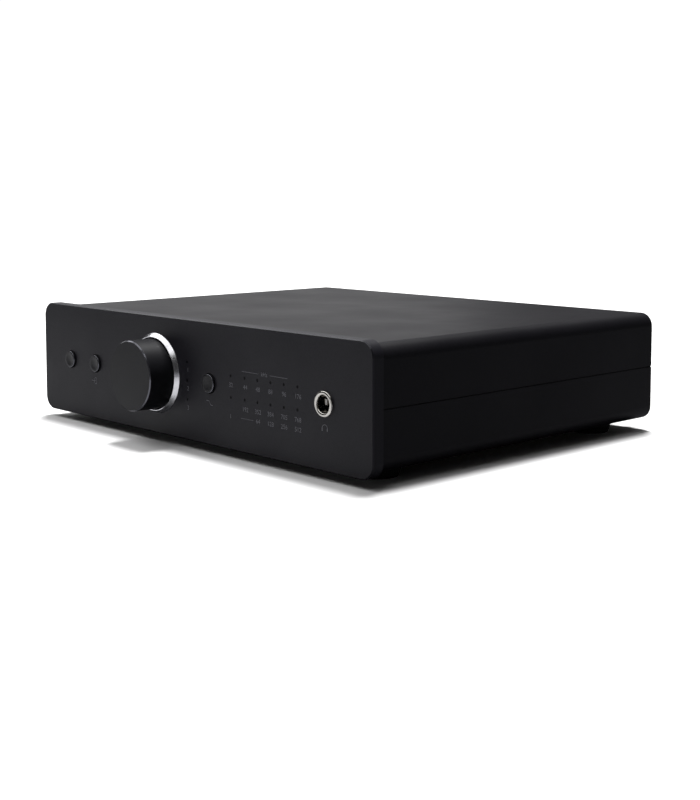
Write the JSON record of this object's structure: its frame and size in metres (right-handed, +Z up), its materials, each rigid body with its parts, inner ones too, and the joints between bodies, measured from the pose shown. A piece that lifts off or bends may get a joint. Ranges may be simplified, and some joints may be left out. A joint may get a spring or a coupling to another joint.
{
  "type": "desktop digital to analogue converter",
  "caption": "Flat half-width black audio box with a ringed volume knob, round push buttons, light pin holes, a headphone socket and rear sockets.",
  "frame": {"origin": "on the supporting surface, under the middle of the bounding box", "axes": "+X to the right seen from the front, +Y towards the rear sockets, +Z up"},
  "size_m": [0.215, 0.1916, 0.052],
  "materials": {
    "panel_anodised": "fine bead-blasted black anodising",
    "case_paint": "satin black powder coat",
    "bare_steel": "zinc-plated sheet",
    "black_screw": "black zinc-plated steel",
    "zinc_screw": "zinc-plated steel",
    "rubber_black": "matt moulded rubber",
    "ring_polished": "diamond-cut bright aluminium",
    "chrome_plate": "bright nickel plate",
    "gold_plate": "gold-plated brass",
    "brass_nut": "nickel-plated brass",
    "moulded_black": "fine spark-textured black ABS",
    "switch_black": "satin moulded nylon",
    "white_insert": "moulded white",
    "red_insert": "moulded red",
    "orange_insert": "moulded orange",
    "clear_guide": "clear moulded acrylic",
    "led_white": "white diode package",
    "board_green": "green solder mask on glass-epoxy",
    "chip_black": "moulded epoxy",
    "can_sleeve": "sleeved aluminium can",
    "film_red": "dipped polyester film",
    "relay_case": "moulded white case",
    "heatsink_black": "black anodised extrusion",
    "ribbon_grey": "grey flat cable"
  },
  "bodies": {
    "chassis": {"board_standoffs": "brass_nut", "bottom_chassis": "case_paint", "case_screws": "black_screw", "circuit_board_screws": "zinc_screw", "coax_insulators": "orange_insert", "dc_pin": "chrome_plate", "dc_socket": "moulded_black", "electrolytic_capacitors": "can_sleeve", "encoder_body": "bare_steel", "encoder_nut": "brass_nut", "film_capacitors": "film_red", "foot_front_left": "rubber_black", "foot_front_right": "rubber_black", "foot_rear_left": "rubber_black", "foot_rear_right": "rubber_black", "foot_screws": "zinc_screw", "front_board": "board_green", "front_bracket": "bare_steel", "front_panel": "panel_anodised", "front_panel_screws": "zinc_screw", "headphone_bezel": "chrome_plate", "headphone_contacts": "gold_plate", "headphone_socket": "moulded_black", "integrated_circuits": "chip_black", "knob_ring": "ring_polished", "light_guide": "clear_guide", "line_left_insulator": "white_insert", "line_right_insulator": "red_insert", "main_board": "board_green", "optical_1_socket": "moulded_black", "optical_2_socket": "moulded_black", "output_relays": "relay_case", "power_switch_housing": "switch_black", "rca_barrels": "gold_plate", "rca_housings": "moulded_black", "rear_panel": "case_paint", "rear_panel_screws": "black_screw", "regulator_heatsink": "heatsink_black", "ribbon_cable": "ribbon_grey", "ribbon_headers": "moulded_black", "status_leds": "led_white", "tact_switches": "moulded_black", "top_cover": "case_paint", "usb_insert": "moulded_black", "usb_shell": "chrome_plate", "xlr_left_housing": "moulded_black", "xlr_pins": "gold_plate", "xlr_right_housing": "moulded_black"},
    "volume": {"volume_knob": "panel_anodised", "knob_grub_screw": "black_screw", "encoder_shaft": "bare_steel"},
    "standby_key": {"standby_button": "panel_anodised", "standby_plunger": "moulded_black"},
    "source_key": {"source_button": "panel_anodised", "source_plunger": "moulded_black"},
    "filter_key": {"filter_button": "panel_anodised", "filter_plunger": "moulded_black"},
    "optical_1_flap": {"optical_1_door": "moulded_black"},
    "optical_2_flap": {"optical_2_door": "moulded_black"},
    "rocker": {"power_rocker": "switch_black"}
  },
  "joints": [
    {"name": "volume_turn", "type": "hinge", "parent": "chassis", "child": "volume", "pos_m": [-0.0202, -0.09, 0.0281], "axis": [0, 1, 0], "continuous": true},
    {"name": "standby_press", "type": "slide", "parent": "chassis", "child": "standby_key", "axis": [0, 1, 0], "range_m": [0, 0.0006], "stiffness_N_per_m": 2500, "springref_m": -0.0003},
    {"name": "source_press", "type": "slide", "parent": "chassis", "child": "source_key", "axis": [0, 1, 0], "range_m": [0, 0.0006], "stiffness_N_per_m": 2500, "springref_m": -0.0003},
    {"name": "filter_press", "type": "slide", "parent": "chassis", "child": "filter_key", "axis": [0, 1, 0], "range_m": [0, 0.0006], "stiffness_N_per_m": 2500, "springref_m": -0.0003},
    {"name": "optical_1_swing", "type": "hinge", "parent": "chassis", "child": "optical_1_flap", "pos_m": [-0.016, 0.0844, 0.02255], "axis": [-1, 0, 0], "range_deg": [0, 85], "stiffness_Nm_per_rad": 0.0001, "springref_deg": -20.05},
    {"name": "optical_2_swing", "type": "hinge", "parent": "chassis", "child": "optical_2_flap", "pos_m": [-0.046, 0.0844, 0.02255], "axis": [-1, 0, 0], "range_deg": [0, 85], "stiffness_Nm_per_rad": 0.0001, "springref_deg": -20.05},
    {"name": "power_rock", "type": "hinge", "parent": "chassis", "child": "rocker", "pos_m": [-0.089, 0.0805, 0.02775], "axis": [-1, 0, 0], "range_deg": [0, 16]}
  ]
}
